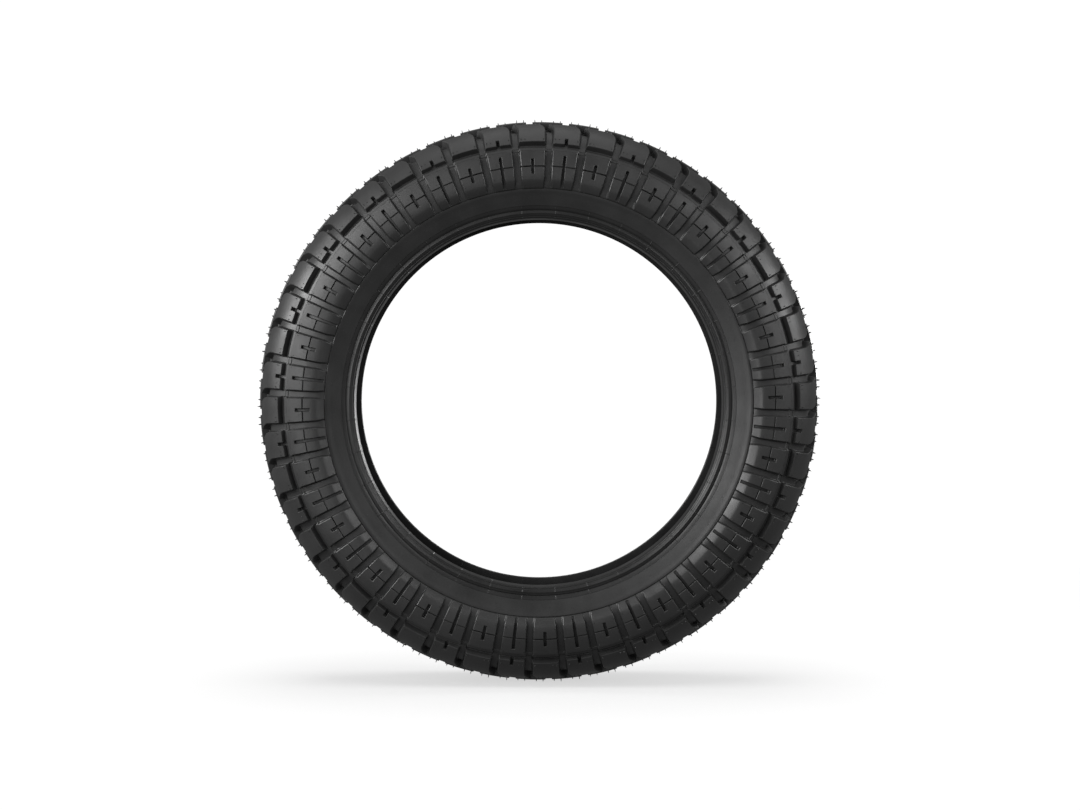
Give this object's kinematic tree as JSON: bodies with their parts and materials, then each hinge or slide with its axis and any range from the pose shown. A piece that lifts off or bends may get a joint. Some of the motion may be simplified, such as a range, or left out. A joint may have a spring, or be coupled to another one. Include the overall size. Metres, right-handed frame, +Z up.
{
  "type": "motorcycle tyre",
  "caption": "Off-rim trail motorcycle tyre with a blocky open tread, smooth low sidewalls and wire beads, built up from its tread, breakers, plies, liner and bead parts.",
  "frame": {"origin": "centre of the tyre, on the wheel axis and midway between the beads", "axes": "+Y along the wheel axis towards the left side, +Z up, +X forward"},
  "size_m": [0.6664, 0.13, 0.6664],
  "materials": {
    "tread_rubber": "dull, moulded, faintly brushed by the mould",
    "sidewall_rubber": "smooth satin",
    "rim_strip_rubber": "smooth, slightly glossy on the bead edge",
    "liner_rubber": "satin, marked by the curing bladder",
    "base_rubber": "matt",
    "filler_rubber": "matt, hard",
    "ply_cord": "nylon cords coated in rubber, laid at an angle",
    "breaker_cord": "nylon cords coated in rubber, laid at an angle",
    "flipper_fabric": "square woven, rubber coated",
    "chafer_fabric": "square woven, rubber coated",
    "bead_wire": "bronze-plated wire"
  },
  "bodies": {
    "root": {"tread_cap": "tread_rubber", "tread_base": "base_rubber", "breaker_outer": "breaker_cord", "breaker_inner": "breaker_cord", "carcass_ply_outer": "ply_cord", "carcass_ply_inner": "ply_cord", "inner_liner": "liner_rubber", "tread_wing_left": "base_rubber", "tread_wing_right": "base_rubber", "sidewall_left": "sidewall_rubber", "sidewall_right": "sidewall_rubber", "rim_strip_left": "rim_strip_rubber", "rim_strip_right": "rim_strip_rubber", "bead_core_left": "bead_wire", "bead_core_right": "bead_wire", "bead_filler_left": "filler_rubber", "bead_filler_right": "filler_rubber", "bead_flipper_left": "flipper_fabric", "bead_flipper_right": "flipper_fabric", "chafer_left": "chafer_fabric", "chafer_right": "chafer_fabric"}
  },
  "joints": []
}
